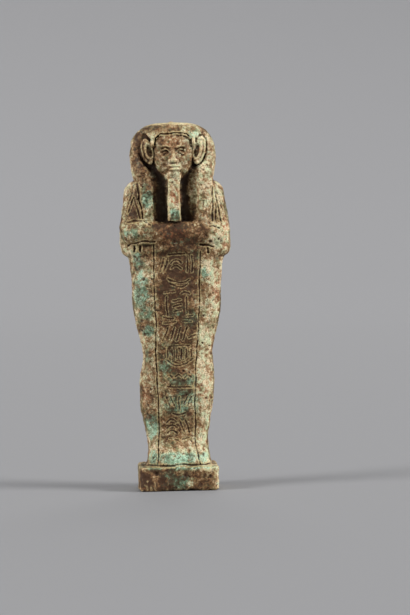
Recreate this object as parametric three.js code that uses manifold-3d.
// Ushabti: a mummiform funerary figurine of moulded faience, one solid with its back pillar and its
// foot plinth. Millimetres, +Z up. The figure faces -Y and stands on the flat underside of its
// plinth, whose centre is the origin.

import * as THREE from "three";
import { mergeVertices } from "three/addons/utils/BufferGeometryUtils.js";
import Module from "manifold-3d";

const wasm = await Module();
wasm.setup();

// ---- Driving dimensions -------------------------------------------------------------------------

const HEIGHT = 160;
const PLINTH = { halfWidth: 17.1, halfDepth: 13.4, height: 10.5, corner: 3.2, bevel: 0.9 };
const PILLAR = { halfWidth: 8, top: 128 };

const ELBOW = 101.4; // level of the elbows' underside
const SHOULDER = 136; // top of the shoulders, inside the wig
const FOREARM = { level: 110.8, halfHeight: 4.8, top: 116.5 };

const WIG = { halfWidth: 18.2, front: 11.6, back: 12.4, domeBase: 146, bottom: 127 };
const LAPPET = { inner: 8.3, outer: 15, front: 11.4 };
const CHEST_FRONT = 7.2; // how far the floor of the channels beside the beard stands out
const NECK = { radius: 5, front: 8.8 };
const BEARD = { topHalfWidth: 2.3, footHalfWidth: 2.8, front: 12.6 };
const EAR = { middle: 11.6, level: 146.7, halfWidth: 2.3, halfHeight: 4.8 };

// The face keeps to the common canon: thirds from hairline to chin, and five eye widths across.
const HAIRLINE = 154.4;
const CHIN = 136;
const FACE_HALF_WIDTH = 8.1;
const FACE_THIRD = (HAIRLINE - CHIN) / 3;
const NOSE_BASE = CHIN + FACE_THIRD;
const BROW = CHIN + 2 * FACE_THIRD;
const EYE_WIDTH = (2 * FACE_HALF_WIDTH) / 5;
const EYE_LEVEL = BROW - 0.45 * EYE_WIDTH;
const MOUTH_LEVEL = NOSE_BASE - FACE_THIRD / 3;

// ---- Profiles up the figure: [level, distance from the middle plane] ----------------------------

const LEG_POWER = 2.7; // how square the cross-sections are: 2 is an ellipse
const TORSO_POWER = 2.9;

const legHalfWidth = through([[9, 15.8], [12.5, 14.4], [15, 13.5], [19, 13.1], [25, 13.6], [31, 14.4],
  [37, 15.5], [44, 15.9], [51, 15.8], [59, 14.8], [65, 16], [72, 17.6], [80, 18.9], [90, 19.2],
  [101, 20.4], [112, 20.9]]);
const legFront = through([[9, 12.3], [13, 11.6], [19, 9.3], [26, 8], [42, 8.9], [58, 8.9],
  [72, 9.5], [88, 10], [112, 9.8]]);
const legBack = through([[9, 12.2], [25, 9.6], [45, 10.6], [58, 9.6], [85, 11.4], [112, 10.2]]);
const torsoHalfWidth = through([[ELBOW, 21], [102.2, 22.5], [103.6, 23.5], [106, 23.85], [114, 23.85],
  [120, 23.3], [125, 22.5], [129.5, 21.8], [132, 20.7], [134, 18.2], [SHOULDER, 12]]);
const torsoFront = through([[ELBOW, 8], [106, 9.4], [116, 9.3], [128, 8.6], [133, 7], [SHOULDER, 4.5]]);
const torsoBack = through([[ELBOW, 8.6], [110, 10], [126, 9.8], [133, 8], [SHOULDER, 4.5]]);
const panelHalfWidth = through([[11, 9.1], [24, 7.8], [40, 8.2], [64, 9.2], [104, 10.3]]);
const panelMiddle = through([[11, 0.3], [40, 0.2], [104, 0.8]]);

/** A smooth curve through [position, value] stops, held level past both ends. */
function through(stops) {
  const slope = (i) => {
    const before = stops[Math.max(i - 1, 0)];
    const after = stops[Math.min(i + 1, stops.length - 1)];
    return (after[1] - before[1]) / (after[0] - before[0]);
  };
  return (at) => {
    const i = stops.findIndex((stop) => stop[0] > at);
    if (i === 0) return stops[0][1];
    if (i < 0) return stops.at(-1)[1];
    const [low, high] = [stops[i - 1], stops[i]];
    const span = high[0] - low[0];
    const t = (at - low[0]) / span;
    const rise = t * t * (3 - 2 * t);
    const leaving = t * (1 - t) * (1 - t) * span * slope(i - 1);
    const arriving = t * t * (t - 1) * span * slope(i);
    return low[1] + (high[1] - low[1]) * rise + leaving + arriving;
  };
}

// ---- Solids -------------------------------------------------------------------------------------

/** The closed solid of a geometry whose points are moved by reshape(point). */
function solid(geometry, reshape = () => {}) {
  geometry.deleteAttribute("normal");
  geometry.deleteAttribute("uv");
  const closed = mergeVertices(geometry, 1e-4);
  const places = closed.attributes.position;
  const point = new THREE.Vector3();
  for (let i = 0; i < places.count; i++) {
    reshape(point.fromBufferAttribute(places, i));
    places.setXYZ(i, point.x, point.y, point.z);
  }
  const corners = Uint32Array.from(closed.index.array);
  if (signedVolume(places, corners) < 0) corners.reverse();
  const mesh = new wasm.Mesh({
    numProp: 3,
    vertProperties: Float32Array.from(places.array),
    triVerts: corners,
  });
  return new wasm.Manifold(mesh);
}

/** Six times the volume that the triangles enclose, negative where their faces point inwards. */
function signedVolume(places, corners) {
  const [a, b, c] = [new THREE.Vector3(), new THREE.Vector3(), new THREE.Vector3()];
  let sum = 0;
  for (let i = 0; i < corners.length; i += 3) {
    a.fromBufferAttribute(places, corners[i]);
    b.fromBufferAttribute(places, corners[i + 1]);
    c.fromBufferAttribute(places, corners[i + 2]);
    sum += a.dot(b.cross(c));
  }
  return sum;
}

/** A unit cylinder along Z, from 0 to 1, to be reshaped into a lofted form. */
function unitColumn(around, rings) {
  return new THREE.CylinderGeometry(1, 1, 1, around, rings).rotateX(Math.PI / 2).translate(0, 0, 0.5);
}

/** Squares off a round section: a unit circle's coordinate on a superellipse of this power. */
function squared(value, power) {
  return Math.sign(value) * Math.abs(value) ** (2 / power);
}

/** The place of a column's point on its section: radius from the axis, then cosine and sine. */
function polar(p) {
  const radius = Math.hypot(p.x, p.y);
  return radius > 0 ? [radius, p.x / radius, p.y / radius] : [0, 0, 0];
}

/**
 * A column of superellipse sections between two levels, with its own front and back depth. Where
 * its ends are rounded, the rings lie closer together there.
 */
function loft({ from, to, halfWidth, front, back, power, around, rings, roundedEnds = false }) {
  return solid(unitColumn(around, rings), (p) => {
    const rise = roundedEnds ? (1 - Math.cos(Math.PI * p.z)) / 2 : p.z;
    const level = between(from, to, rise);
    const [radius, c, s] = polar(p);
    const depth = s < 0 ? front(level) : back(level);
    p.set(radius * squared(c, power) * halfWidth(level), radius * squared(s, power) * depth, level);
  });
}

/** An ellipsoid at a centre, with three radii. */
function ellipsoid(centre, radii, around = 12, rings = 7) {
  return solid(new THREE.SphereGeometry(1, around, rings), (p) => {
    p.multiply(radii).add(centre);
  });
}

/** A prism of an outline drawn in the X-Z plane, from one depth to another along Y. */
function prism(outline, fromY, toY) {
  const geometry = new THREE.ExtrudeGeometry(outline, {
    depth: toY - fromY,
    bevelEnabled: false,
    curveSegments: 7,
  });
  return solid(geometry, (p) => p.set(p.x, fromY + p.z, p.y));
}

/** A round-ended bar from a to b, with a half height across it and a half thickness in depth. */
function bar(a, b, halfHeight, halfThickness, around) {
  const run = new THREE.Vector3().subVectors(b, a);
  const side = new THREE.Vector3(-run.z, 0, run.x).normalize();
  const geometry = new THREE.CapsuleGeometry(1, 1, 4, around).rotateZ(-Math.PI / 2);
  return solid(geometry, (p) => {
    const straight = THREE.MathUtils.clamp(p.x, -0.5, 0.5);
    const along = straight + 0.5 + ((p.x - straight) * halfHeight) / run.length();
    const [across, inDepth] = [p.y * halfHeight, p.z * halfThickness];
    p.copy(a).addScaledVector(run, along).addScaledVector(side, across);
    p.y += inDepth;
  });
}

/** A groove's cutter: a thin slab that follows place(t) = [x, level, surface depth], t from 0 to 1. */
function groove(place, width, bite, steps) {
  const narrowing = 0.35; // of the groove's width, at its floor
  const reach = 4; // how far the cutter stands out in front of the floor
  return solid(new THREE.BoxGeometry(1, 1, 1, 1, 1, steps), (p) => {
    const [x, level, surface] = place(p.z + 0.5);
    const floor = bite - surface;
    const atFloor = p.y > 0;
    p.set(x + p.x * width * (atFloor ? narrowing : 1), atFloor ? floor : floor - reach, level);
  });
}

/** How far the front of a superellipse section stands out at x. */
function frontAt(x, halfWidth, front, power) {
  return front * (1 - Math.min(Math.abs(x) / halfWidth, 1) ** power) ** (1 / power);
}

const bothSides = (make) => [-1, 1].map(make);
const at = (x, y, z) => new THREE.Vector3(x, y, z);
const between = THREE.MathUtils.lerp;

// ---- The figure's forms -------------------------------------------------------------------------

function footPlinth() {
  const { halfWidth, halfDepth, height, corner, bevel } = PLINTH;
  const [x, y] = [halfWidth - bevel - corner, halfDepth - bevel - corner];
  const turn = Math.PI / 2;
  const outline = new THREE.Shape();
  outline.absarc(x, y, corner, 0, turn);
  outline.absarc(-x, y, corner, turn, 2 * turn);
  outline.absarc(-x, -y, corner, 2 * turn, 3 * turn);
  outline.absarc(x, -y, corner, 3 * turn, 4 * turn);
  const geometry = new THREE.ExtrudeGeometry(outline, {
    depth: height - 2 * bevel,
    bevelThickness: bevel,
    bevelSize: bevel,
    bevelSegments: 2,
    curveSegments: 5,
  });
  return solid(geometry, (p) => p.set(p.x, p.y, p.z + bevel));
}

function legsAndFeet() {
  return loft({
    from: PLINTH.height - 1.5, to: 112, power: LEG_POWER, around: 40, rings: 22,
    halfWidth: legHalfWidth, front: legFront, back: legBack,
  });
}

function torso() {
  return loft({
    from: ELBOW, to: SHOULDER, power: TORSO_POWER, around: 36, rings: 15, roundedEnds: true,
    halfWidth: torsoHalfWidth, front: torsoFront, back: torsoBack,
  });
}

function backPillar() {
  const { halfWidth, top } = PILLAR;
  const base = PLINTH.height / 2;
  const [inside, back] = [4, PLINTH.halfDepth - 0.6];
  return solid(new THREE.BoxGeometry(2 * halfWidth, back - inside, top - base), (p) => {
    p.add(at(0, (back + inside) / 2, (top + base) / 2));
  });
}

function wig() {
  const roundness = 2.5;
  const sectionPower = 2.3;
  const taper = through([[WIG.bottom, 0.84], [132, 0.92], [137, 0.965], [142, 1], [HEIGHT, 1]]);
  const lean = through([[WIG.bottom, 0.62], [138, 0.8], [150, 1], [HEIGHT, 1]]);
  return solid(unitColumn(36, 17), (p) => {
    // The rings lie closer together towards the crown, where the dome turns over.
    const level = WIG.bottom + (HEIGHT - WIG.bottom) * Math.sin((p.z * Math.PI) / 2);
    const rise = THREE.MathUtils.clamp((level - WIG.domeBase) / (HEIGHT - WIG.domeBase), 0, 0.999);
    const [radius, c, s] = polar(p);
    const size = radius * (1 - rise ** roundness) ** (1 / roundness);
    const depth = s < 0 ? WIG.front * lean(level) : WIG.back;
    const across = size * squared(c, sectionPower) * WIG.halfWidth * taper(level);
    p.set(across, size * squared(s, sectionPower) * depth, level);
  });
}

/** The hollow in the wig's front that holds face and ears and runs down beside the beard. */
function wigOpening() {
  const { inner } = LAPPET;
  const neck = 130;
  const side = [[7.4, HAIRLINE - 0.8], [9.8, 151.9], [12.8, 151.9], [14.9, 148.6], [14.6, 144.2],
    [12.2, 140.2], [9.6, 136], [inner, neck]];
  const foot = FOREARM.top - 1.5;
  const outline = new THREE.Shape();
  outline.moveTo(0, HAIRLINE);
  outline.splineThru(side.map(([x, level]) => new THREE.Vector2(x, level)));
  outline.lineTo(inner, foot);
  outline.lineTo(-inner, foot);
  outline.lineTo(-inner, neck);
  outline.splineThru(side.toReversed().slice(1).map(([x, level]) => new THREE.Vector2(-x, level)));
  outline.lineTo(0, HAIRLINE);
  return prism(outline, -20, -CHEST_FRONT);
}

/** One front lappet of the wig, lying on the chest beside the beard. */
function lappet(side) {
  const [middle, half] = [(LAPPET.inner + LAPPET.outer) / 2, (LAPPET.outer - LAPPET.inner) / 2];
  const [foot, top] = [112, 142];
  const core = 4; // how far the lappet's buried middle stands out
  const fullness = through([[foot, 0.86], [124, 0.92], [134, 1], [top, 0.86]]);
  return solid(unitColumn(18, 8), (p) => {
    const level = between(foot, top, p.z);
    const [radius, c, s] = polar(p);
    const outward = middle + half * radius * squared(c, 4);
    const depth = radius * squared(s, 3) * (LAPPET.front * fullness(level) - core);
    p.set(side * outward, depth - core, level);
  });
}

function neck() {
  const round = () => NECK.radius;
  return loft({
    from: CHIN - 10, to: CHIN + 6, power: 2, around: 16, rings: 1,
    halfWidth: round, front: () => NECK.front, back: round,
  });
}

function head() {
  const centre = at(0, -2.4, 145.6);
  const radii = at(FACE_HALF_WIDTH, 9.2, 11.2);
  return solid(new THREE.SphereGeometry(1, 24, 14).rotateX(Math.PI / 2), (p) => {
    const jaw = 1 - 0.3 * Math.max(-p.z, 0) ** 2;
    p.set(squared(p.x, 2.2) * jaw, p.y, p.z).multiply(radii).add(centre);
  });
}

function nose() {
  const [half, tip, bridge, root] = [EYE_WIDTH / 2, 13.4, 11.6, 9];
  return solid(new THREE.CylinderGeometry(0.45, 1, 1, 8, 1).rotateX(Math.PI / 2), (p) => {
    const lift = p.z + 0.5;
    const level = between(NOSE_BASE, EYE_LEVEL + 0.8, lift);
    p.set(p.x * half, Math.min(p.y, 0) * (between(tip, bridge, lift) - root) - root, level);
  });
}

function eye(side) {
  return ellipsoid(at(side * EYE_WIDTH, -10.5, EYE_LEVEL), at(EYE_WIDTH / 2, 0.95, 0.75), 10, 6);
}

function brow(side) {
  return bar(at(side * 1.3, -11.05, BROW), at(side * 4.9, -9.9, BROW + 0.1), 0.4, 0.6, 6);
}

function lips() {
  const radii = at(0.75 * EYE_WIDTH, 1.15, 0.5);
  return [0.42, -0.42].map((lift) => ellipsoid(at(0, -10.9, MOUTH_LEVEL + lift), radii, 10, 6));
}

/** One ear: an upright rim round a shallow bowl, turned forwards in front of the wig. */
function ear(side) {
  const [wide, tall] = [0.85 * EAR.halfWidth, 0.83 * EAR.halfHeight];
  const lean = 0.15 * wide;
  const place = (p) => p.add(at(side * EAR.middle, -CHEST_FRONT - 1.1, EAR.level));
  const rim = solid(new THREE.TorusGeometry(1, 0.25, 6, 16), (p) => {
    place(p.set(side * (p.x * wide - p.y * lean), -p.z * 2.8 - p.x * 0.5, p.y * tall));
  });
  const bowl = solid(new THREE.SphereGeometry(1, 10, 6), (p) => {
    place(p.set(side * (p.x * wide - p.y * lean), p.z * 1.3 + 0.6, p.y * tall));
  });
  return rim.add(bowl);
}

function beard() {
  const [foot, top] = [FOREARM.top - 1.5, CHIN + 2.4];
  const root = 4; // how far the beard's buried back stands out
  return solid(new THREE.BoxGeometry(1, 1, 1, 2, 1, 5), (p) => {
    const rise = p.z + 0.5;
    const half = between(BEARD.footHalfWidth, BEARD.topHalfWidth, rise) * (p.y < 0 ? 0.82 : 1);
    const front = BEARD.front - 1.1 * rise - 0.5 * (p.x === 0 ? 0 : 1);
    p.set(2 * p.x * half, p.y < 0 ? -front : -root, between(foot, top, rise));
  });
}

/** One forearm, laid across the body in low relief, and the closed hand at its end. */
function forearm(side) {
  const { level, halfHeight } = FOREARM;
  const arm = bar(at(side * 17.6, -6.6, level), at(side * 4.5, -8.6, level + 1), halfHeight, 3.6, 12);
  return arm.add(ellipsoid(at(-side * 5.6, -10.4, level + 1.6), at(4.6, 2.5, 3.9)));
}

/** The two long grooves that frame the column of text down the legs. */
function panelGroove(side) {
  const place = (t) => {
    const level = between(PLINTH.height + 0.6, FOREARM.level - 4.5, t);
    const x = panelMiddle(level) + side * panelHalfWidth(level);
    return [x, level, frontAt(x, legHalfWidth(level), legFront(level), LEG_POWER)];
  };
  return groove(place, 1.2, 0.8, 14);
}

/** The outline of a hoe over one shoulder: straight grooves that spread from near the neck. */
function hoeGrooves(side) {
  const foot = FOREARM.top + 1.5;
  const lines = [
    [[17, 130.5], [21.4, foot]],
    [[16.7, 130.5], [15.9, foot]],
    [[17.4, 126.5], [17.2, foot]],
    [[17.6, 126.5], [19.8, foot]],
  ];
  return lines.map(([top, bottom]) => groove((t) => {
    const [x, level] = [0, 1].map((k) => between(bottom[k], top[k], t));
    const surface = frontAt(x, torsoHalfWidth(level), torsoFront(level), TORSO_POWER);
    return [side * x, level, surface];
  }, 0.8, 0.6, 4));
}

// ---- The object ---------------------------------------------------------------------------------

function figure() {
  const join = (forms) => forms.reduce((whole, form) => whole.add(form));
  const body = join([footPlinth(), legsAndFeet(), torso(), backPillar()]);
  const covered = join([wig(), ...bothSides(lappet), body]).subtract(wigOpening());
  const face = [head(), nose(), ...bothSides(eye), ...bothSides(brow), ...lips()];
  const whole = join([covered, neck(), ...face, beard(), ...bothSides(ear), ...bothSides(forearm)]);
  return whole.subtract(join([...bothSides(panelGroove), ...bothSides(hoeGrooves).flat()]));
}

function named(name, body, material) {
  const { vertProperties, triVerts } = body.getMesh();
  const geometry = new THREE.BufferGeometry();
  geometry.setAttribute("position", new THREE.BufferAttribute(vertProperties, 3));
  geometry.setIndex(new THREE.BufferAttribute(triVerts, 1));
  const mesh = new THREE.Mesh(geometry, material);
  mesh.name = name;
  return mesh;
}

const faience = new THREE.MeshStandardMaterial({ color: 0x8f8668, roughness: 0.75, metalness: 0 });

const object = new THREE.Group();
object.add(named("ushabti_figurine", figure(), faience));

export default object;
